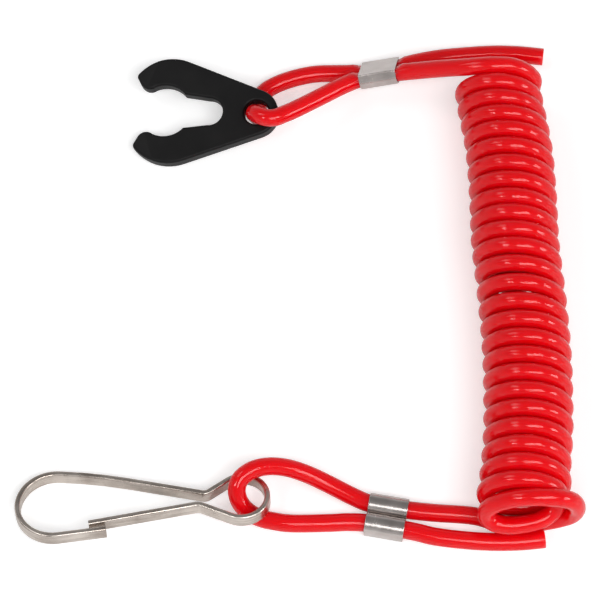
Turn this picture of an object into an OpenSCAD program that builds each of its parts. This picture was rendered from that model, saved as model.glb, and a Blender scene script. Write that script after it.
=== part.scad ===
// Engine kill switch key on a coiled safety lanyard, lying on a flat surface.
// A forked clip pulls out of the switch, a coiled cord joins it to a sprung snap hook.
// Units are millimetres, +Z is up, the surface is z = 0 and the origin is the middle
// of the clip and the hook together.

/* [Cord] */
// Diameter of the cord
cord_d = 4.5; // [4.2:0.1:4.6]
// Outer diameter of the wound coil
coil_d = 22.5; // [21:0.5:23]

/* [Clip] */
// Thickness of the moulded clip
clip_t = 4; // [3.6:0.1:4]
// Radius of the round seat that grips the switch button's neck
seat_r = 6.85; // [6.6:0.05:7]
// Distance from the eye to the middle of the seat
seat_back = 24.1; // [23.8:0.1:24.4]
// Outer radius of each jaw
jaw_r = 11.9; // [11.6:0.1:12.2]
// Radius of the rounded end round the eye
end_r = 6.3; // [5.9:0.1:6.7]
// Radius of the eye that the cord goes through
eye_r = 3.2; // [3.1:0.05:3.3]
// Radius of the clip's rounded edges
clip_edge = 0.7; // [0.4:0.1:0.8]

/* [Snap hook] */
// Width of the flattened wire
wire_w = 3.6; // [3.2:0.1:3.8]
// Thickness of the flattened wire
wire_t = 1.4; // [1.2:0.1:1.5]
// Radius of the big bow, on the middle of the wire
bow_r = 9.3; // [9:0.1:9.6]
// Radius of the hook's eye, on the middle of the wire
hook_eye_r = 6.26; // [6.1:0.02:6.4]

/* [Ferrules] */
// Length of each crimped ferrule
ferrule_l = 9.8; // [8:0.2:11]
// Wall of the ferrule
ferrule_wall = 0.5; // [0.4:0.05:0.6]
// Distance between the two strands in a ferrule
strand_gap = 5.3; // [5.2:0.1:5.6]
// Height of the strands' middle over a ferrule's flat back, which presses them
ferrule_back = 1.85; // [1.8:0.05:2.2]

/* [Hidden] */
$fn = 64;

cord_r = cord_d / 2;
coil_r = coil_d / 2;
sides = 12;      // sides of the cord's tubes
play = 0.15;     // running clearance at the hook's waist
wire_edge = 0.45;

// Where the clip lies: the foot of its eye, and its tilt over the cord, on the tip of one jaw
clip_at = [27.1, 51.35, 5.21];
clip_turn = [10, -6.5, -4.6];

// Where the hook lies: the middle of the wire at the waist, and its tilt
hook_at = [13.48, -53.8, 4.96];
hook_turn = [-14, -2.65, 0];

// Where the ferrules lie, and how they are turned
clip_ferrule_at = [58.6, 63.7, 6.3];
clip_ferrule_turn = [137, -14, 3];
hook_ferrule_at = [59.3, -58.7, 2.3];
hook_ferrule_turn = [0, 0, -10.4];

// The cord's route from its free tail through the ferrule, the clip's eye and back to the coil
clip_route = [
    [101.5, 70.5, 2.3], [88.7, 71.4, 2.3], [80.2, 70.7, 2.5], [68.7, 67.8, 4.6], [63.7, 65.9, 5.7],
    [58.9, 65.7, 4.5], [54.2, 65.4, 3.4], [47.5, 65.6, 2.3], [36.2, 64.1, 2.3], [31.4, 62.1, 2.3],
    [28.8, 60.3, 2.3], [27.4, 58.2, 2.3], [27, 56, 2.3], [27.1, 53.7, 2.8], [27.1, 51.8, 4.6],
    [26.7, 51, 7.2], [26.4, 50.4, 9.6], [27.2, 48.8, 11.4], [29.1, 47.4, 12.2], [33.6, 48.4, 12],
    [36.2, 50, 11.3], [41.8, 54, 9.6], [47.4, 58, 8.1], [53.5, 61.5, 6.9], [58.3, 61.7, 8.1],
    [63, 62, 9.3], [71.8, 60.6, 13.7], [80.5, 58.8, 18.3], [88.8, 58.2, 20.2]
];

// The middle line of the coil, from the clip's end to the hook's end
coil_axis = [
    [88.7, 60.2, coil_r], [91.8, 31.6, coil_r], [92.2, 11.6, coil_r], [93.6, -4.4, coil_r],
    [94.6, -32.4, coil_r], [94, -45.4, coil_r], [93.1, -57.8, coil_r]
];

// The cord's route from the coil round its loose last turn, under itself, through the ferrule
// and the hook's eye and back to the free tail
hook_route = [
    [102.1, -57, 12.5], [102.1, -58.6, 10.8], [101.6, -60.3, 9.1], [99.8, -61.7, 7.5],
    [93.2, -63.5, 6.7], [88.7, -63.8, 6.9], [85.4, -63, 7.5], [83.7, -61.9, 9.2],
    [83.5, -61.2, 11.6], [84.8, -60.8, 14.4], [87.4, -60.6, 17], [90.8, -60.6, 19.2],
    [94.5, -60.7, 20.2], [98.3, -60.9, 19.9], [101.6, -61.1, 18.4], [104.5, -61.3, 15.6],
    [106.1, -61.3, 12.2], [106.1, -61.2, 8.5], [104.6, -60.8, 5.3], [101.8, -60.4, 3.2],
    [93.2, -59.6, 2.3], [81.6, -58.7, 2.3], [70.7, -57.7, 2.3], [64.6, -57, 2.3], [55, -55.2, 2.3],
    [45.3, -50.8, 3.6], [40.2, -48.8, 5.1], [35.6, -47.7, 6.6], [29.4, -48, 8.7],
    [26.7, -48.9, 9.3], [24.5, -50.2, 9.3], [22.9, -51.8, 8.7], [22.3, -53.8, 7.5],
    [22.8, -55.7, 5.9], [24.2, -57.3, 4.2], [26.2, -58.4, 2.9], [28.7, -59.3, 2.3], [35.2, -60.5, 2.3],
    [45.3, -60.4, 2.3], [54, -60.4, 2.3], [63.6, -62.2, 2.3], [70.6, -63.9, 2.3], [85, -65.4, 2.3],
    [98.2, -64.5, 2.3]
];

// Clip outline, worked out from its eye at the origin with the jaws towards -X
jaw_at = [-22.6, 2.3];           // middle of a jaw's outer round
end_at = [-0.7, 0];              // middle of the end's round
lip_r = 2.75;                    // rounded lip at each side of the mouth
lip_at = [-28.4, 8.5];
tip_slope = 1.6;                 // the tip's slanting face, and how far it runs
tip_l = 2.1;
slot_r = 3.65;                   // the slot's closed end
slot_back = 12.5;
slot_mouth = [-18.9, 4.5];       // half width where the slot leaves the seat
bevel_at = [-27.8, 9.2];         // where each jaw's lead-in bevel starts
bevel_turn = 20;
bevel_slope = 11;
eye_bevel = 0.6;
seat_bevel = 0.4;

// Hook path: straight run, turn to the left in degrees, radius of the turn
hook_start = [-23, -10.9, 188];
hook_steps = [
    [11.8, -191.5, bow_r],
    [0, -9, 110],
    [19.1, 49.5, 2],
    [5.6, -241.4, hook_eye_r],
    [8.83, 0, 0]
];
waist_at = walk(hook_steps, len(hook_steps), hook_start);
gate_angle = 191;
gate_l = 27.5;

function step(p, s) =
    let (side = sign(s[1]),
         run_to = [p[0] + s[0] * cos(p[2]), p[1] + s[0] * sin(p[2])],
         middle = run_to + side * s[2] * [-sin(p[2]), cos(p[2])],
         heading = p[2] + s[1])
    concat(middle + side * s[2] * [sin(heading), -cos(heading)], [heading]);

function walk(steps, n, start) = n == 0 ? start : step(walk(steps, n - 1, start), steps[n - 1]);

// Every place where the bent wire needs a section: the ends of its runs, and steps round its bends
function stations_from(p, steps, i = 0) =
    i == len(steps) ? [] :
    let (s = steps[i], n = max(1, ceil(abs(s[1]) / 8)))
    concat(
        s[0] > 0 && s[1] != 0 ? [step(p, [s[0], 0, 0])] : [],
        [for (k = [1 : n]) step(p, [s[0], s[1] * k / n, s[2]])],
        stations_from(step(p, s), steps, i + 1)
    );

function unit(v) = v / norm(v);

// Direction of a route at one of its points, and a ring of the tube square to it
function heading(route, i) =
    unit(route[min(i + 1, len(route) - 1)] - route[max(i - 1, 0)]);

// Each ring's first spoke is the last ring's, squared to the new heading, so that the tube
// doesn't twist
function spokes(route, i = 0, last = [0, 0, 1]) =
    i == len(route) ? [] :
    let (h = heading(route, i), s = unit(last - (last * h) * h))
    concat([s], spokes(route, i + 1, s));

function ring(at, h, s, r) =
    [for (k = [0 : sides - 1]) at + r * (cos(360 * k / sides) * s + sin(360 * k / sides) * cross(h, s))];

// A direction turned the way a piece is
function turned(v, a) =
    let (x = [v[0], v[1] * cos(a[0]) - v[2] * sin(a[0]), v[1] * sin(a[0]) + v[2] * cos(a[0])],
         y = [x[0] * cos(a[1]) + x[2] * sin(a[1]), x[1], x[2] * cos(a[1]) - x[0] * sin(a[1])])
    [y[0] * cos(a[2]) - y[1] * sin(a[2]), y[0] * sin(a[2]) + y[1] * cos(a[2]), y[2]];

// A point of the cord, pressed in by the flat back of the ferrule that it runs through
function pressed(p, at, turn) =
    let (out = turned([0, 0, -1], turn),
         along = (p - at) * turned([1, 0, 0], turn),
         over = (p - at) * out - ferrule_back + ferrule_wall)
    abs(along) < ferrule_l / 2 + 1 && over > 0 ? p - over * out : p;

module tube(route, r, ferrule_at = [0, 0, -99], ferrule_turn = [0, 0, 0]) {
    first = spokes(route);
    points = [for (i = [0 : len(route) - 1], p = ring(route[i], heading(route, i), first[i], r))
        pressed(p, ferrule_at, ferrule_turn)];
    last = len(route) - 1;
    faces = concat(
        [[for (k = [sides - 1 : -1 : 0]) k]],
        [[for (k = [0 : sides - 1]) last * sides + k]],
        [for (i = [0 : last - 1], k = [0 : sides - 1])
            let (n = (k + 1) % sides)
            each [[i * sides + k, i * sides + n, (i + 1) * sides + n],
                  [i * sides + k, (i + 1) * sides + n, (i + 1) * sides + k]]]
    );
    polyhedron(points, [for (f = faces) [for (k = [len(f) - 1 : -1 : 0]) f[k]]]);
}

// Two circles and the band between their outer tangents
module belt(a, ra, b, rb) {
    along = atan2(b[1] - a[1], b[0] - a[0]);
    open = acos((ra - rb) / norm(b - a));
    function on(c, r, s) = c + r * [cos(along + s * open), sin(along + s * open)];
    translate(a) circle(ra);
    translate(b) circle(rb);
    polygon([on(a, ra, 1), on(a, ra, -1), on(b, rb, -1), on(b, rb, 1)]);
}

// Half of the mouth between the jaw tips, closed on the clip's middle line
module mouth_half() {
    slant = unit([1, -tip_slope]);
    face = lip_at - lip_r * [-slant[1], slant[0]];
    blunt = face - tip_l * slant;
    difference() {
        polygon([[-20, -1], [-26, 5], lip_at, face, blunt, [blunt[0], 15], [-40, 15], [-40, -1]]);
        translate(lip_at) circle(lip_r);
    }
}

// The gap between the jaws: the round seat, the narrower slot behind it and the open mouth
module clip_gap() {
    translate([-seat_back, 0]) circle(seat_r);
    translate([-slot_back, 0]) circle(slot_r);
    for (side = [0, 1])
        mirror([0, side, 0]) {
            mouth_half();
            polygon([[-slot_back, -1], [-slot_back, slot_r], slot_mouth, [slot_mouth[0], -1]]);
        }
}

// Half of a round section, which rounds the edges of what it is added to
module edge_round() {
    rotate_extrude($fn = 16)
        polygon([for (a = [-90 : 30 : 90]) clip_edge * [cos(a), sin(a)]]);
}

// Both jaws and the end round the eye, with every outer edge rounded
module clip_body() {
    minkowski() {
        translate([0, 0, clip_edge])
            linear_extrude(clip_t - 2 * clip_edge)
                for (side = [-1, 1])
                    belt([jaw_at[0], side * jaw_at[1]], jaw_r - clip_edge, end_at, end_r - clip_edge);
        edge_round();
    }
}

// The clip: its gap cut straight through, its jaw tips bevelled for an easy start on the button
module clip_plate() {
    difference() {
        clip_body();
        translate([0, 0, -1]) linear_extrude(clip_t + 2) clip_gap();
        for (side = [-1, 1], face = [0, 1])
            translate([bevel_at[0], side * bevel_at[1], face * clip_t])
                rotate([0, 0, -side * bevel_turn])
                    mirror([0, 0, 1 - face])
                        rotate([0, -bevel_slope, 0])
                            translate([-20, -10, 0])
                                cube([20, 20, 5]);
        for (face = [0, 1])
            translate([-seat_back, 0, face * clip_t])
                mirror([0, 0, 1 - face])
                    translate([0, 0, -seat_bevel])
                        cylinder(h = 1, r1 = seat_r, r2 = seat_r + 1);
        translate([0, 0, -1]) cylinder(h = clip_t + 2, r = eye_r);
        for (face = [0, 1])
            translate([0, 0, face * clip_t])
                mirror([0, 0, 1 - face])
                    translate([0, 0, -eye_bevel])
                        cylinder(h = 1, r1 = eye_r, r2 = eye_r + 1);
    }
}

// Section of the flattened wire: thickness across, width up, its rolled edges rounded
function wire_section() =
    let (e = wire_edge, x = wire_t / 2 - e, y = wire_w / 2 - e)
    [for (q = [[x, y, 0], [-x, y, 90], [-x, -y, 180], [x, -y, 270]], a = [0, 45, 90])
        [q[0] + e * cos(q[2] + a), q[1] + e * sin(q[2] + a)]];

// Flattened wire bent flat from a start [x, y, heading] along its runs and bends
module wire(steps, start) {
    section = wire_section();
    m = len(section);
    stations = concat([start], stations_from(start, steps));
    last = len(stations) - 1;
    points = [for (p = stations, q = section) [p[0] - q[0] * sin(p[2]), p[1] + q[0] * cos(p[2]), q[1]]];
    polyhedron(points, concat(
        [[for (k = [0 : m - 1]) k]],
        [[for (k = [m - 1 : -1 : 0]) last * m + k]],
        [for (i = [0 : last - 1], k = [0 : m - 1])
            let (n = (k + 1) % m)
            each [[i * m + k, (i + 1) * m + k, (i + 1) * m + n], [i * m + k, (i + 1) * m + n, i * m + n]]]
    ));
}

module hook_frame() {
    translate(hook_at) rotate(hook_turn) children();
}

module kill_switch_clip() {
    color([0.1, 0.1, 0.1])
        translate(clip_at) rotate(clip_turn) clip_plate();
}

// Bow, back, waist and eye, bent in one length, up to the knuckle where the gate springs
module snap_hook() {
    color([0.74, 0.72, 0.7])
        hook_frame()
            difference() {
                wire(hook_steps, hook_start);
                translate([waist_at[0], waist_at[1], -wire_w])
                    cylinder(h = 2 * wire_w, r = wire_t / 2 + play);
            }
}

// Sprung arm of the hook, rounded where it turns at the waist
module hook_gate() {
    color([0.74, 0.72, 0.7])
        hook_frame()
            translate([waist_at[0], waist_at[1], 0]) {
                cylinder(h = wire_w, r = wire_t / 2, center = true);
                rotate([90, 0, 90 + gate_angle]) linear_extrude(gate_l) polygon(wire_section());
            }
}

// Crimped sleeve: a flat back, and two lobes that meet in a valley over the strands
module ferrule_section(r, back) {
    half = strand_gap / 2;
    difference() {
        for (side = [-1, 1])
            translate([side * half, 0]) circle(r);
        translate([-10, -10 - back]) square([20, 10]);
    }
}

module ferrule() {
    side = strand_gap / 2 + cord_r + ferrule_wall;
    ease = 0.4;
    rotate([90, 0, 90])
        translate([0, 0, -ferrule_l / 2])
            difference() {
                linear_extrude(ferrule_l) {
                    ferrule_section(cord_r + ferrule_wall, ferrule_back);
                    polygon([
                        [-side, 0], [-side, ease - ferrule_back], [ease - side, -ferrule_back],
                        [side - ease, -ferrule_back], [side, ease - ferrule_back], [side, 0],
                        [1, 0.6], [-1, 0.6]
                    ]);
                }
                translate([0, 0, -1])
                    linear_extrude(ferrule_l + 2)
                        ferrule_section(cord_r, ferrule_back - ferrule_wall);
                // the seam where the two folded edges meet
                translate([-0.1, 0.1, -1]) cube([0.2, 1, ferrule_l + 2]);
            }
}

module clip_ferrule() {
    color([0.7, 0.69, 0.68])
        translate(clip_ferrule_at) rotate(clip_ferrule_turn) ferrule();
}

module hook_ferrule() {
    color([0.7, 0.69, 0.68])
        translate(hook_ferrule_at) rotate(hook_ferrule_turn) ferrule();
}

module cord_clip_end() {
    color([0.86, 0.06, 0.09]) tube(clip_route, cord_r, clip_ferrule_at, clip_ferrule_turn);
}

module cord_coil() {
    color([0.86, 0.06, 0.09]) tube(coil_axis, coil_r);
}

module cord_hook_end() {
    color([0.86, 0.06, 0.09]) tube(hook_route, cord_r, hook_ferrule_at, hook_ferrule_turn);
}

kill_switch_clip();
snap_hook();
hook_gate();
clip_ferrule();
hook_ferrule();
cord_clip_end();
cord_coil();
cord_hook_end();
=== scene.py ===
import math

import bmesh
import bpy
from mathutils import Euler, Matrix, Vector


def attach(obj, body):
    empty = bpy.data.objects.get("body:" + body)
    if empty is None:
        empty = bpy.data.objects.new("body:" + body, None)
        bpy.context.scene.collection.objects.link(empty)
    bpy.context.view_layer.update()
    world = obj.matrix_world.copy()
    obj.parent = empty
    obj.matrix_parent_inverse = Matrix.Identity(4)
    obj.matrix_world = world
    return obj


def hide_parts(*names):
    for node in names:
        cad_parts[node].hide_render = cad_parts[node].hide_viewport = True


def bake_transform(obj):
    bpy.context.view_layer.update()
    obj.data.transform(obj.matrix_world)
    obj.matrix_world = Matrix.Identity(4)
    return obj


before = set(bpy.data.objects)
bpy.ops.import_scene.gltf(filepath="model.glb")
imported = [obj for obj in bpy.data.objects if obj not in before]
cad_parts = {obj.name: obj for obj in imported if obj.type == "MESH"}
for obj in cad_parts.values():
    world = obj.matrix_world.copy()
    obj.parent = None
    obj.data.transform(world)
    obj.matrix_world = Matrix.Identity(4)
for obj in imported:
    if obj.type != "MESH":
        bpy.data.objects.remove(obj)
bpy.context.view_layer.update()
scene = bpy.context.scene
mm = 0.001
print("frame loaded:", ", ".join(sorted(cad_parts)))


# A socket that can be used in sums, so that shader maths reads as maths
class Signal:
    def __init__(self, tree, socket):
        self.tree = tree
        self.socket = socket

    def maths(self, operation, first, second=0.0):
        return self.tree.add("ShaderNodeMath", {"operation": operation}, {0: first, 1: second})

    def __add__(self, other):
        return self.maths("ADD", self, other)

    __radd__ = __add__

    def __sub__(self, other):
        return self.maths("SUBTRACT", self, other)

    def __rsub__(self, other):
        return self.maths("SUBTRACT", other, self)

    def __mul__(self, other):
        return self.maths("MULTIPLY", self, other)

    __rmul__ = __mul__

    def __truediv__(self, other):
        return self.maths("DIVIDE", self, other)

    def __rtruediv__(self, other):
        return self.maths("DIVIDE", other, self)

    def larger(self, other):
        return self.maths("MAXIMUM", self, other)


# Adds nodes to a shader or geometry tree: settings first, then values or links of its sockets
class Tree:
    def __init__(self, nodeTree):
        self.tree = nodeTree

    def add(self, kind, settings=None, inputs=None, output=0):
        node = self.tree.nodes.new(kind)
        for name, value in (settings or {}).items():
            if name == "stops":
                ramp = node.color_ramp
                while len(ramp.elements) < len(value):
                    ramp.elements.new(0.5)
                for element, (position, colour) in zip(ramp.elements, value):
                    element.position = position
                    element.color = colour if len(colour) == 4 else (*colour, 1)
            else:
                setattr(node, name, value)
        for name, value in (inputs or {}).items():
            if isinstance(value, Signal):
                self.tree.links.new(value.socket, node.inputs[name])
            else:
                node.inputs[name].default_value = value
        return Signal(self, node.outputs[output]) if len(node.outputs) else node

    def mix(self, factor, first, second):
        return self.add("ShaderNodeMix", {"data_type": "RGBA"}, {0: factor, 6: first, 7: second}, 2)

    def bump(self, height, strength, distance):
        return self.add("ShaderNodeBump", None,
                        {"Strength": strength, "Distance": distance, "Height": height})


def newMaterial(name, fixed):
    material = bpy.data.materials.new(name)
    material.use_nodes = True
    shader = material.node_tree.nodes["Principled BSDF"]
    for socket, value in fixed.items():
        shader.inputs[socket].default_value = value
    return material, Tree(material.node_tree), shader


def feed(tree, shader, varying):
    for socket, signal in varying.items():
        tree.tree.links.new(signal.socket, shader.inputs[socket])


def geometryTree(name, sizes):
    group = bpy.data.node_groups.new(name, "GeometryNodeTree")
    group.interface.new_socket("Geometry", in_out="INPUT", socket_type="NodeSocketGeometry")
    for label, kind in sizes.items():
        group.interface.new_socket(label, in_out="INPUT", socket_type=kind)
    group.interface.new_socket("Geometry", in_out="OUTPUT", socket_type="NodeSocketGeometry")
    tree = Tree(group)
    source = group.nodes.new("NodeGroupInput")
    given = {socket.name: Signal(tree, socket) for socket in source.outputs if socket.name}
    return group, tree, given


def closeTree(tree, geometry, material):
    whole = tree.add("GeometryNodeRealizeInstances", None, {"Geometry": geometry})
    shown = tree.add("GeometryNodeSetMaterial", None, {"Geometry": whole, "Material": material})
    end = tree.tree.nodes.new("NodeGroupOutput")
    tree.tree.links.new(shown.socket, end.inputs[0])


# Runs a tree on an object and gives the result as a plain mesh object
def grown(source, group, values, name):
    modifier = source.modifiers.new("grow", "NODES")
    modifier.node_group = group
    for item in group.interface.items_tree:
        if item.item_type == "SOCKET" and item.in_out == "INPUT" and item.name in values:
            modifier[item.identifier] = values[item.name]
    graph = bpy.context.evaluated_depsgraph_get()
    mesh = bpy.data.meshes.new_from_object(source.evaluated_get(graph))
    source.modifiers.remove(modifier)
    bpy.data.objects.remove(source)
    return placed(name, mesh)


def placed(name, mesh):
    mesh.name = name
    piece = bpy.data.objects.new(name, mesh)
    scene.collection.objects.link(piece)
    return piece


# A line through points as a curve object of straight segments
def lineObject(name, points, radii=None, cyclic=False):
    curve = bpy.data.curves.new(name, "CURVE")
    curve.dimensions = "3D"
    spline = curve.splines.new("POLY")
    spline.points.add(len(points) - 1)
    for i, point in enumerate(points):
        spline.points[i].co = (*point, 1)
        spline.points[i].radius = radii[i] if radii else 1
    spline.use_cyclic_u = cyclic
    line = bpy.data.objects.new(name, curve)
    scene.collection.objects.link(line)
    return line


# Camera first: it looks down at 65 degrees, as the photograph does
view = {
    "aim": (0.0379, 0.0014, 0),
    "elevation": 65,
    "distance": 0.95,
    "lens": 224,
}


def makeCamera():
    tilt = math.radians(view["elevation"])
    camera = bpy.data.cameras.new("camera")
    camera.lens = view["lens"]
    camera.sensor_width = 36
    camera.clip_end = 20
    holder = bpy.data.objects.new("camera", camera)
    scene.collection.objects.link(holder)
    back = Vector((0, -math.cos(tilt), math.sin(tilt)))
    holder.location = Vector(view["aim"]) + back * view["distance"]
    holder.rotation_euler = (math.pi / 2 - tilt, 0, 0)
    scene.camera = holder


makeCamera()
print("camera made")

cordSizes = {
    "diameter": 4.5,
    "length": 1780,
    "coilRadius": 9,  # to the cord's own middle
    "pitch": 4.776,
    "turns": 24.15,
    # how far single turns sit from even winding, towards the clip's end
    "uneven": [(0, 0.2), (1, 0.1), (2, 0.4), (4, 0.95), (8, 0.85), (9.4, 1.2), (11.4, 1.5), (12.8, 0.8),
               (14.4, 0.3), (21, 0.2), (24.15, 0.35)],
    "firstTurn": 58.24,
    "lean": 2.45,  # how far the last turns' feet reach beyond their crests
    "leanTurns": (18.5, 5),  # the turn where that starts, and over how many it grows
    "flare": 0.5,  # how much wider the last turn lies
    "flareTurns": (22.5, 1.2),
    "spacing": 1.0,
    "sides": 24,
}

clipRoute = [
    (101.5, 70.5, 2.3), (95.2, 71.2, 2.3), (88.7, 71.4, 2.3), (80.2, 70.7, 2.5), (74.2, 69.6, 3.3),
    (68.7, 67.8, 4.6), (63.7, 65.9, 5.7), (58.9, 65.7, 4.5), (54.2, 65.4, 3.4), (50.8, 65.5, 2.6),
    (47.5, 65.6, 2.3), (41.8, 65.4, 2.3), (36.2, 64.1, 2.3), (31.4, 62.1, 2.3), (28.8, 60.3, 2.3),
    (27.4, 58.2, 2.3), (27, 56, 2.3), (27.1, 53.7, 2.8), (26.95, 51.7, 4.6), (26.5, 50.8, 7.2),
    (26.1, 50.1, 9.6), (26.9, 48.7, 11.4), (29.1, 47.4, 12.2), (31.4, 47.3, 12.3), (33.6, 48.4, 12),
    (36.2, 50, 11.3), (41.8, 54, 9.6), (47.4, 58, 8.1), (50.6, 60.2, 7.1), (53.5, 61.5, 6.9),
    (58.3, 61.7, 8.1), (63, 62, 9.3), (67.5, 61.5, 11.2), (71.8, 60.6, 13.7), (76.2, 59.7, 16.1),
    (80.5, 58.8, 18.3), (84.4, 58.4, 19.7), (87.8, 58.25, 20.25),
]

hookRoute = [
    (101.3, -58.3, 10.8), (100.4, -59.5, 9.1), (98.7, -60.8, 8), (96.4, -62, 7.7),
    (93.2, -62.8, 7.7), (88.7, -63.3, 7.9), (85.4, -62.8, 8.5), (83.7, -61.8, 10), (83.5, -61.2, 12.2),
    (84.8, -60.8, 14.8), (87.4, -60.6, 17.2), (90.8, -60.6, 19.2), (94.5, -60.7, 20.2), (98.3, -60.8, 20.15),
    (101.5, -60.7, 19.2), (104, -60.5, 17.1), (105.3, -60.4, 14), (105.5, -60.3, 10.4),
    (104.5, -60.2, 7.1), (102, -60.1, 4.6), (98.6, -60.3, 3.2), (94.4, -60.75, 2.4), (88.2, -60.8, 2.3),
    (81.6, -58.7, 2.3), (70.7, -57.7, 2.3), (64.6, -57, 2.3), (59.8, -56.1, 2.3), (55, -55.2, 2.3),
    (50.8, -53.4, 2.6), (45.3, -50.8, 3.6), (40.2, -48.8, 5.1), (35.6, -47.7, 6.6), (32.3, -47.6, 7.8),
    (29.4, -48, 8.7), (26.7, -48.9, 9.3), (24.5, -50.2, 9.3), (22.9, -51.8, 8.7), (22.3, -53.8, 7.5),
    (22.8, -55.7, 5.9), (24.2, -57.3, 4.2), (26.2, -58.4, 2.9), (28.7, -59.3, 2.3), (31.7, -60, 2.3),
    (35.2, -60.5, 2.3), (45.3, -60.4, 2.3), (49.7, -60.2, 2.3), (54, -60.4, 2.3), (58.8, -61.3, 2.3),
    (63.6, -62.2, 2.3), (67.2, -63, 2.3), (70.6, -63.9, 2.3), (77.8, -64.9, 2.3), (85, -65.4, 2.3),
    (92.2, -65.3, 2.3), (98.2, -64.7, 2.3),
]

# The coil's middle line, x at each y, from the clip's end to the hook's end
coilLine = [
    (88.75, 61.6), (88.85, 56.5), (89.05, 53), (90.5, 44.3), (91.6, 35.6), (92.1, 24.2), (92.25, 10.1),
    (93.6, -3.9), (94.45, -16.5), (94.6, -25.8), (94.4, -39.3), (93.5, -48.9), (92.8, -55.3), (92.6, -62.4),
]


# A smooth line through the points, at an even spacing, with no overshoot where they are close
def smoothLine(points, spacing):
    line = [Vector(p) for p in points]
    line = [line[0] * 2 - line[1]] + line + [line[-1] * 2 - line[-2]]
    fine = []
    for a, b, c, d in zip(line, line[1:], line[2:], line[3:]):
        t1 = (b - a).length ** 0.5
        t2 = t1 + (c - b).length ** 0.5
        t3 = t2 + (d - c).length ** 0.5
        for k in range(24):
            t = t1 + (t2 - t1) * k / 24
            ab = a * ((t1 - t) / t1) + b * (t / t1)
            bc = b * ((t2 - t) / (t2 - t1)) + c * ((t - t1) / (t2 - t1))
            cd = c * ((t3 - t) / (t3 - t2)) + d * ((t - t2) / (t3 - t2))
            abc = ab * ((t2 - t) / t2) + bc * (t / t2)
            bcd = bc * ((t3 - t) / (t3 - t1)) + cd * ((t - t1) / (t3 - t1))
            fine.append(abc * ((t2 - t) / (t2 - t1)) + bcd * ((t - t1) / (t2 - t1)))
    fine.append(line[-2])
    even = [fine[0]]
    left = spacing
    for a, b in zip(fine, fine[1:]):
        step = (b - a).length
        at = 0
        while step - at >= left:
            at += left
            even.append(a + (b - a) * (at / step))
            left = spacing
        left -= step - at
    if (even[-1] - fine[-1]).length > spacing / 2:
        even.append(fine[-1])
    else:
        even[-1] = fine[-1]
    return even


def acrossAt(y):
    for (xa, ya), (xb, yb) in zip(coilLine, coilLine[1:]):
        if ya >= y >= yb:
            t = (ya - y) / (ya - yb)
            return xa + (xb - xa) * t
    return coilLine[-1][0]


def unevenAt(turn):
    for (ta, da), (tb, db) in zip(cordSizes["uneven"], cordSizes["uneven"][1:]):
        if turn <= tb:
            t = (turn - ta) / (tb - ta)
            return da + (db - da) * t * t * (3 - 2 * t)
    return 0


def grownAt(turn, turns):
    start, count = turns
    return min(1, max(0, (turn - start) / count))


def coilPoints():
    sizes = cordSizes
    points = []
    steps = 20
    soft = [acrossAt(sizes["firstTurn"] - sizes["pitch"] * k / 4) for k in range(-4, 104)]
    for k in range(1, int(sizes["turns"] * steps) + 1):
        turn = k / steps
        at = 4 * turn + 4
        i = int(at)
        nearby = soft[max(0, i - 3):i + 5]
        middle = sum(nearby) / len(nearby)
        angle = 2 * math.pi * turn
        y = sizes["firstTurn"] - sizes["pitch"] * turn + unevenAt(turn)
        y -= sizes["lean"] * grownAt(turn, sizes["leanTurns"]) * (1 - math.cos(angle)) / 2
        height = sizes["coilRadius"] + sizes["diameter"] / 2
        across = sizes["coilRadius"] + sizes["flare"] * grownAt(turn, sizes["flareTurns"])
        points.append((middle + across * math.sin(angle), y,
                       height + sizes["coilRadius"] * math.cos(angle)))
    return points


def cordTree(material):
    sizes = {"Diameter": "NodeSocketFloat", "Sides": "NodeSocketInt"}
    group, tree, given = geometryTree("cord along its line", sizes)
    measured = tree.add("GeometryNodeSplineParameter", None, None, 1)
    marked = tree.add("GeometryNodeStoreNamedAttribute", {"data_type": "FLOAT", "domain": "POINT"},
                      {"Geometry": given["Geometry"], "Name": "along", "Value": measured})
    section = tree.add("GeometryNodeCurvePrimitiveCircle", {"mode": "RADIUS"},
                       {"Resolution": given["Sides"], "Radius": given["Diameter"] / 2})
    around = tree.add("GeometryNodeSplineParameter", None, None, 0)
    turned = tree.add("GeometryNodeStoreNamedAttribute", {"data_type": "FLOAT", "domain": "POINT"},
                      {"Geometry": section, "Name": "round", "Value": around})
    radius = tree.add("GeometryNodeInputRadius")
    body = tree.add("GeometryNodeCurveToMesh", None,
                    {"Curve": marked, "Profile Curve": turned, "Scale": radius, "Fill Caps": True})
    closeTree(tree, body, material)
    return group


def cordPlastic():
    material, tree, shader = newMaterial("cordPlastic", {
        "IOR": 1.46, "Specular IOR Level": 0.42, "Subsurface Weight": 0.8,
        "Subsurface Radius": (1, 0.06, 0.04), "Subsurface Scale": 0.005,
    })
    place = tree.add("ShaderNodeTexCoord", None, None, 3)
    cloud = tree.add("ShaderNodeTexNoise", None, {"Vector": place, "Scale": 55, "Detail": 3})
    fine = tree.add("ShaderNodeTexNoise", None, {"Vector": place, "Scale": 900, "Detail": 2})
    along = tree.add("ShaderNodeAttribute", {"attribute_name": "along"}, None, 2)
    ripple = tree.add("ShaderNodeTexNoise", {"noise_dimensions": "1D"}, {"W": along * 240, "Detail": 1})
    red = tree.mix(cloud, (0.78, 0.002, 0.006, 1), (0.88, 0.003, 0.009, 1))
    scuff = tree.add("ShaderNodeValToRGB", {"stops": [(0.62, (0, 0, 0)), (0.75, (1, 1, 1))]}, {"Fac": fine})
    feed(tree, shader, {
        "Base Color": red,
        "Roughness": 0.06 + 0.04 * cloud + 0.05 * scuff,
        "Normal": tree.bump(ripple * 0.6 + fine * 0.12, 0.12, 0.0004),
    })
    return material


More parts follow.
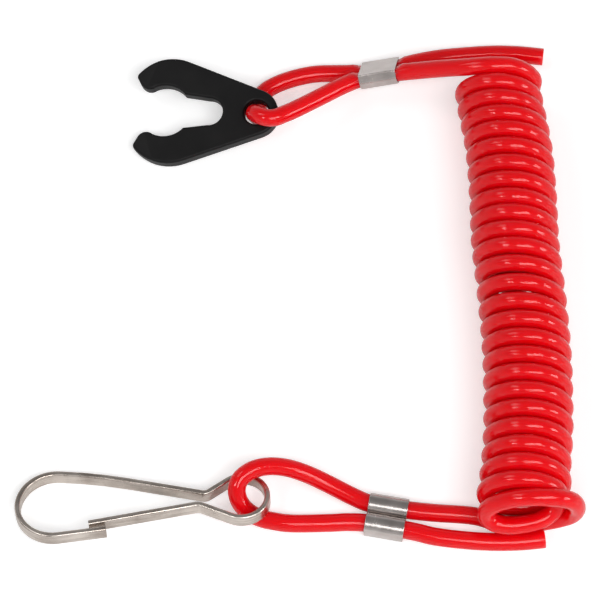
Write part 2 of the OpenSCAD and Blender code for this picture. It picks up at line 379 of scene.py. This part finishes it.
def makeCord():
    plastic = cordPlastic()
    points = smoothLine(clipRoute + coilPoints() + hookRoute, cordSizes["spacing"])
    length = sum((b - a).length for a, b in zip(points, points[1:]))
    print("cord is", round(length), "mm long along its line")
    radii = [1] * len(points)
    points = [points[0] + (points[0] - points[1]).normalized() * 0.02] + points
    points = points + [points[-1] + (points[-1] - points[-2]).normalized() * 0.02]
    radii = [0.93] + radii + [0.93]
    line = lineObject("cordLine", [p * mm for p in points], radii)
    piece = grown(line, cordTree(plastic), {
        "Diameter": cordSizes["diameter"] * mm, "Sides": cordSizes["sides"],
    }, "coiledCord")
    piece.data.polygons.foreach_set("use_smooth", [len(p.vertices) == 4 for p in piece.data.polygons])
    return piece, [p * mm for p in points]


cord, cordLine = makeCord()
print("cord made")

# The clip, drawn from its eye at the origin with the jaws towards -x, as part.scad has it
clipSizes = {
    "at": (27.1, 51.35, 5.21),
    "turn": (10, -6.5, -4.6),
    "thickness": 4,
    "edge": 0.7,
    "jaw": (-22.6, 2.3),
    "jawRadius": 11.9,
    "end": (-0.7, 0),
    "endRadius": 6.3,
    "seat": (-24.1, 0),
    "seatRadius": 6.85,
    "eyeRadius": 3.2,
    "tip": (-30.71, 9.35),
    "tipRadius": 1.15,
    "lip": (-28.4, 8.5),
    "lipRadius": 2.75,
    "slotEnd": (-12.5, 0),
    "slotRadius": 3.65,
    "crease": (-27.8, 9.2),  # the jaws thin out beyond a slanted crease through here
    "creaseSlant": 20,
    "creaseFall": 0.194,
}


def turnedTo(at, turn):
    turn = Euler([math.radians(a) for a in turn], "XYZ")
    return Matrix.Translation(Vector(at) * mm) @ turn.to_matrix().to_4x4()


def arc(centre, radius, first, last, step=4):
    count = max(2, round(abs(last - first) / step))
    angles = [math.radians(first + (last - first) * k / count) for k in range(count + 1)]
    return [(centre[0] + radius * math.cos(a), centre[1] + radius * math.sin(a)) for a in angles]


def clipOutline():
    sizes = clipSizes
    upper = arc(sizes["end"], sizes["endRadius"], 0, 69.3)
    upper += arc(sizes["jaw"], sizes["jawRadius"], 69.3, 138.5)
    upper += arc(sizes["tip"], sizes["tipRadius"], 142, 211, 12)
    upper += arc(sizes["lip"], sizes["lipRadius"], 213, 297, 9)
    upper += arc(sizes["seat"], sizes["seatRadius"], 116, 41, 3)
    upper += arc(sizes["slotEnd"], sizes["slotRadius"], 92, 0, 8)
    return upper + [(x, -y) for x, y in reversed(upper)][:-1]


# A flat outline with holes as a solid plate with rounded edges
def plate(name, outline, holes, thickness, edge, steps=4):
    curve = bpy.data.curves.new(name, "CURVE")
    curve.dimensions = "2D"
    curve.fill_mode = "BOTH"
    curve.extrude = (thickness / 2 - edge) * mm
    curve.bevel_depth = edge * mm
    curve.bevel_resolution = steps
    curve.offset = -edge * mm
    for ring in [outline] + holes:
        spline = curve.splines.new("POLY")
        spline.points.add(len(ring) - 1)
        for i, (x, y) in enumerate(ring):
            spline.points[i].co = (x * mm, y * mm, 0, 1)
        spline.use_cyclic_u = True
    flat = bpy.data.objects.new(name, curve)
    scene.collection.objects.link(flat)
    graph = bpy.context.evaluated_depsgraph_get()
    mesh = bpy.data.meshes.new_from_object(flat.evaluated_get(graph))
    bpy.data.objects.remove(flat)
    shape = bmesh.new()
    shape.from_mesh(mesh)
    bmesh.ops.remove_doubles(shape, verts=shape.verts, dist=1e-6)
    bmesh.ops.recalc_face_normals(shape, faces=shape.faces)
    shape.to_mesh(mesh)
    shape.free()
    return placed(name, mesh)


def steadyShading(piece, angle, creased=None):
    mesh = piece.data
    mesh.polygons.foreach_set("use_smooth", [True] * len(mesh.polygons))
    mesh.set_sharp_from_angle(angle=math.radians(angle))
    if creased:
        for edge in mesh.edges:
            if all(creased(mesh.vertices[v].co) for v in edge.vertices):
                edge.use_edge_sharp = True
    modifier = piece.modifiers.new("shading", "WEIGHTED_NORMAL")
    modifier.keep_sharp = True
    graph = bpy.context.evaluated_depsgraph_get()
    steady = bpy.data.meshes.new_from_object(piece.evaluated_get(graph))
    piece.modifiers.remove(modifier)
    piece.data = steady


def clipPlastic():
    material, tree, shader = newMaterial("clipPlastic", {"IOR": 1.45, "Specular IOR Level": 0.16})
    place = tree.add("ShaderNodeTexCoord", None, None, 3)
    grain = tree.add("ShaderNodeTexNoise", None, {"Vector": place, "Scale": 2600, "Detail": 3})
    cloud = tree.add("ShaderNodeTexNoise", None, {"Vector": place, "Scale": 140, "Detail": 4})
    black = tree.mix(cloud, (0.006, 0.006, 0.0065, 1), (0.014, 0.0135, 0.0135, 1))
    feed(tree, shader, {
        "Base Color": black,
        "Roughness": 0.3 + 0.16 * cloud + 0.06 * grain,
        "Normal": tree.bump(grain, 0.22, 0.00006),
    })
    return material


def makeClip():
    sizes = clipSizes
    piece = plate("forkedClip", clipOutline(), [arc((0, 0), sizes["eyeRadius"], 360, 6, 6)],
                  sizes["thickness"], sizes["edge"])
    half = sizes["thickness"] / 2
    slant = math.radians(sizes["creaseSlant"])
    creaseX, creaseY = sizes["crease"]

    def beyond(point):  # how far past the crease of its jaw
        return -(point.x / mm - creaseX) * math.cos(slant) + (abs(point.y) / mm - creaseY) * math.sin(slant)

    shape = bmesh.new()
    shape.from_mesh(piece.data)
    for side in (-1, 1):
        jaw = [f for f in shape.faces if f.calc_center_median().y * side > 0 or len(f.verts) > 8]
        jaw += list({e for f in jaw for e in f.edges}) + list({v for f in jaw for v in f.verts})
        bmesh.ops.bisect_plane(shape, geom=jaw, dist=1e-7, plane_co=(creaseX * mm, creaseY * side * mm, 0),
                               plane_no=(-math.cos(slant), side * math.sin(slant), 0))
    for vertex in shape.verts:
        vertex.co.z *= 1 - sizes["creaseFall"] * max(0, beyond(vertex.co)) / half
        vertex.co.z += half * mm
    shape.to_mesh(piece.data)
    shape.free()
    place = turnedTo(sizes["at"], sizes["turn"])
    inward = place.inverted()
    piece.data.transform(place)
    steadyShading(piece, 50, lambda point: abs(beyond(inward @ point)) < 0.01)
    piece.data.materials.append(clipPlastic())
    return piece


clip = makeClip()
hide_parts("kill_switch_clip")
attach(clip, "clip")
print("clip made")

# The hook, bent from one flattened wire: each step is a run, then a turn to the left and its radius
hookSizes = {
    "at": (13.48, -53.8, 4.96),
    "turn": (-14, -2.65, 0),
    "width": 3.6,
    "thickness": 1.4,
    "edge": 0.45,
    "start": (-23, -10.9, 188),
    "steps": [(11.8, -191.5, 9.3), (0, -9, 110), (19.1, 49.5, 2), (5.6, -241.4, 6.26), (4.6, 0, 0)],
    "gateSteps": [(3.43, 35.4, 2.5), (26.7, 0, 0)],
    "stillAt": (2.2, -4.6, 0),  # the two ends of the gate's root
    "freeAt": (-2.4, -4.4, 0),
}


def bentWire(start, steps):
    x, y, heading = start
    points = [(x, y)]
    for run, turn, radius in steps:
        h = math.radians(heading)
        x += run * math.cos(h)
        y += run * math.sin(h)
        if run:
            points.append((x, y))
        if turn:
            side = math.copysign(1, turn)
            centre = (x - side * radius * math.sin(h), y + side * radius * math.cos(h))
            count = max(2, math.ceil(abs(turn) / 4))
            for k in range(1, count + 1):
                a = math.radians(heading + turn * k / count)
                points.append((centre[0] + side * radius * math.sin(a),
                               centre[1] - side * radius * math.cos(a)))
            x, y = points[-1]
            heading += turn
    return points, (x, y, heading)


def wireTree(material):
    sizes = {"Width": "NodeSocketFloat", "Thickness": "NodeSocketFloat", "Edge": "NodeSocketFloat"}
    group, tree, given = geometryTree("flattened wire along its line", sizes)
    measured = tree.add("GeometryNodeSplineParameter", None, None, 1)
    marked = tree.add("GeometryNodeStoreNamedAttribute", {"data_type": "FLOAT", "domain": "POINT"},
                      {"Geometry": given["Geometry"], "Name": "along", "Value": measured})
    upright = tree.add("GeometryNodeSetCurveNormal", {"mode": "Z_UP"}, {"Curve": marked})
    section = tree.add("GeometryNodeCurvePrimitiveQuadrilateral", None,
                       {"Width": given["Thickness"], "Height": given["Width"]})
    eased = tree.add("GeometryNodeFilletCurve", {"mode": "POLY"},
                     {"Curve": section, "Count": 4, "Radius": given["Edge"]})
    around = tree.add("GeometryNodeSplineParameter", None, None, 1)
    turned = tree.add("GeometryNodeStoreNamedAttribute", {"data_type": "FLOAT", "domain": "POINT"},
                      {"Geometry": eased, "Name": "round", "Value": around})
    body = tree.add("GeometryNodeCurveToMesh", None,
                    {"Curve": upright, "Profile Curve": turned, "Fill Caps": True})
    closeTree(tree, body, material)
    return group


def hookNickel():
    material, tree, shader = newMaterial("hookNickel", {"Metallic": 1.0})
    place = tree.add("ShaderNodeTexCoord", None, None, 3)
    along = tree.add("ShaderNodeAttribute", {"attribute_name": "along"}, None, 2)
    around = tree.add("ShaderNodeAttribute", {"attribute_name": "round"}, None, 2)
    drawn = tree.add("ShaderNodeCombineXYZ", None, {0: along * 70, 1: around * 4200})
    streak = tree.add("ShaderNodeTexNoise", None, {"Vector": drawn, "Scale": 1, "Detail": 4})
    cloud = tree.add("ShaderNodeTexNoise", None, {"Vector": place, "Scale": 160, "Detail": 4})
    # painted reflection: dark streaks along the wire stand in for darker surroundings that the nickel
    # mirrors, mixed with random tone from the cloud
    paintedReflectionAndTone = tree.add("ShaderNodeValToRGB", {"stops": [(0.38, (0, 0, 0)), (0.62, (1, 1, 1))]},
                       {"Fac": streak * 0.6 + cloud * 0.4})
    nickel = tree.mix(paintedReflectionAndTone, (0.36, 0.3, 0.26, 1), (0.74, 0.67, 0.61, 1))
    feed(tree, shader, {
        "Base Color": nickel,
        "Roughness": 0.16 + 0.14 * cloud + 0.08 * streak,
        "Normal": tree.bump(streak * 0.7 + cloud * 0.3, 0.25, 0.00012),
    })
    return material


def wirePiece(name, start, steps, group):
    sizes = hookSizes
    points, end = bentWire(start, steps)
    line = lineObject(name, [(x * mm, y * mm, 0) for x, y in points])
    piece = grown(line, group, {
        "Width": sizes["width"] * mm, "Thickness": sizes["thickness"] * mm, "Edge": sizes["edge"] * mm,
    }, name)
    piece.data.transform(turnedTo(sizes["at"], sizes["turn"]))
    steadyShading(piece, 60)
    return piece, end


hookGroup = wireTree(hookNickel())
hook, waistStart = wirePiece("hookWire", hookSizes["start"], hookSizes["steps"], hookGroup)
gate, gateEnd = wirePiece("gateWire", waistStart, hookSizes["gateSteps"], hookGroup)
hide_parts("snap_hook")
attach(hook, "hook")
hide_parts("hook_gate")
hookPlace = turnedTo(hookSizes["at"], hookSizes["turn"])
stillAt, freeAt = [hookPlace @ Vector([v * mm for v in hookSizes[end]]) for end in ("stillAt", "freeAt")]
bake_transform(gate)
print("hook made, gate ends at", [round(v, 1) for v in gateEnd])

ferruleSizes = {
    "length": 9.8,
    "wall": 0.5,
    "strandGap": 5.3,
    "back": 1.85,  # from the strands' middle down to the flat back
    "corner": 0.4,
    "edge": 0.12,
    "places": {
        "clipFerrule": ((58.6, 63.7, 6.3), (137, -14, 3), "clip_ferrule"),
        "hookFerrule": ((59.3, -58.7, 2.3), (0, 0, -10.4), "hook_ferrule"),
    },
}


def ferruleSteel():
    material, tree, shader = newMaterial("ferruleSteel", {"Metallic": 1.0})
    place = tree.add("ShaderNodeTexCoord", None, None, 3)
    stretched = tree.add("ShaderNodeMapping", None, {"Vector": place, "Scale": (1500, 120, 120)})
    rolled = tree.add("ShaderNodeTexNoise", None, {"Vector": stretched, "Scale": 1, "Detail": 3})
    cloud = tree.add("ShaderNodeTexNoise", None, {"Vector": place, "Scale": 260, "Detail": 4})
    steel = tree.mix(cloud, (0.4, 0.355, 0.335, 1), (0.74, 0.68, 0.655, 1))
    feed(tree, shader, {
        "Base Color": steel,
        "Roughness": 0.14 + 0.12 * cloud + 0.08 * rolled,
        "Normal": tree.bump(rolled * 0.4 + cloud * 0.6, 0.2, 0.00015),
    })
    return material


# The hollow for one strand, flat where the back presses it
def pressedBore(middle):
    radius = cordSizes["diameter"] / 2
    floor = ferruleSizes["back"] - ferruleSizes["wall"]
    flat = math.degrees(math.asin(floor / radius))
    return arc((middle, 0), radius, -flat, 180 + flat, 6)


# Presses the cord flat inside the ferrules, easing off beyond their ends
def pressCord(piece, ease=1.6):
    sizes = ferruleSizes
    floor = (sizes["wall"] - sizes["back"]) * mm
    for at, turn, node in sizes["places"].values():
        place = turnedTo(at, turn)
        inward = place.inverted()
        for vertex in piece.data.vertices:
            p = inward @ vertex.co
            past = (abs(p.x) / mm - sizes["length"] / 2) / ease
            if past < 1 and p.z < floor and abs(p.y) < 6 * mm and p.z > -3 * mm:
                share = 1 if past < 0 else (1 - past) ** 2 * (1 + 2 * past)
                p.z += (floor - p.z) * share
                vertex.co = place @ p


def makeFerrule(name, at, turn, material):
    sizes = ferruleSizes
    half = sizes["strandGap"] / 2
    outer = cordSizes["diameter"] / 2 + sizes["wall"]
    corner = sizes["corner"]
    right = arc((half, 0), outer, 164, 0)
    right += arc((half + outer - corner, corner - sizes["back"]), corner, 0, -90, 15)
    seam = [(-0.08, 0.1), (0.08, 0.1)]
    outline = seam + right + [(-x, y) for x, y in reversed(right)]
    bores = [pressedBore(side * half) for side in (-1, 1)]
    piece = plate(name, outline, bores, sizes["length"], sizes["edge"], 2)
    upright = Matrix(((0, 0, 1, 0), (1, 0, 0, 0), (0, 1, 0, 0), (0, 0, 0, 1)))
    piece.data.transform(turnedTo(at, turn) @ upright)
    steadyShading(piece, 40)
    piece.data.materials.append(material)
    return piece


steel = ferruleSteel()
for name, (at, turn, node) in ferruleSizes["places"].items():
    ferrule = makeFerrule(name, at, turn, steel)
    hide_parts(node)
    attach(ferrule, "cord")
pressCord(cord)
print("ferrules made, cord pressed in them")

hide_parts("cord_clip_end", "cord_coil", "cord_hook_end")
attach(cord, "cord")


# White where the camera looks, of which shiny surfaces mirror a part
def seenDirectly(tree):
    camera = tree.add("ShaderNodeLightPath", None, None, "Is Camera Ray")
    glossy = tree.add("ShaderNodeLightPath", None, None, "Is Glossy Ray")
    through = tree.add("ShaderNodeLightPath", None, None, "Is Transmission Ray")
    return camera.larger(glossy * 0.28).larger(through)


def makeFloor():
    shape = bmesh.new()
    bmesh.ops.create_grid(shape, x_segments=1, y_segments=1, size=3)
    mesh = bpy.data.meshes.new("floor")
    shape.to_mesh(mesh)
    shape.free()
    floor = placed("floor", mesh)
    material, tree, shader = newMaterial("paleFloor", {
        "Base Color": (0.86, 0.86, 0.86, 1), "Roughness": 0.9, "Specular IOR Level": 0.1,
        "Emission Strength": 0.42,
    })
    seen = seenDirectly(tree)
    feed(tree, shader, {"Emission Color": tree.mix(seen, (0, 0, 0, 1), (1, 1, 1, 1))})
    floor.data.materials.append(material)


# White round the horizon, with a darker ceiling that gives the metal something to mirror
def makeWorld():
    world = bpy.data.worlds.new("studio")
    world.use_nodes = True
    scene.world = world
    tree = Tree(world.node_tree)
    plain = world.node_tree.nodes["Background"]
    direction = tree.add("ShaderNodeTexCoord")
    upwards = tree.add("ShaderNodeSeparateXYZ", None, {"Vector": direction}, 2)
    ceiling = tree.add("ShaderNodeValToRGB", {"stops": [(0.25, (1, 1, 1)), (0.65, (0.42, 0.42, 0.42))]},
                       {"Fac": upwards})
    amount = seenDirectly(tree) * 0.56 + 0.44
    world.node_tree.links.new(ceiling.socket, plain.inputs["Color"])
    world.node_tree.links.new(amount.socket, plain.inputs["Strength"])


def makeLamp(name, at, size, power):
    lamp = bpy.data.lights.new(name, "AREA")
    lamp.shape = "RECTANGLE"
    lamp.size, lamp.size_y = size
    lamp.energy = power
    holder = bpy.data.objects.new(name, lamp)
    scene.collection.objects.link(holder)
    holder.location = at
    holder.rotation_euler = (Vector(view["aim"]) - Vector(at)).to_track_quat("-Z", "Y").to_euler()


lamps = {
    "softboxFront": {"at": (0.36, -0.64, 1.1), "size": (0.95, 0.5), "power": 8.4},
    "softboxRight": {"at": (1.2, -0.38, 0.58), "size": (0.5, 0.4), "power": 4.2},
    "softboxLeft": {"at": (-0.64, -0.53, 0.98), "size": (0.3, 0.26), "power": 2.2},
    "softboxBehind": {"at": (-0.8, 0.36, 1.22), "size": (0.6, 0.5), "power": 2.2},
}

makeFloor()
makeWorld()
for name, lamp in lamps.items():
    makeLamp(name, **lamp)
scene.view_settings.view_transform = "Standard"
print("floor and lamps made")
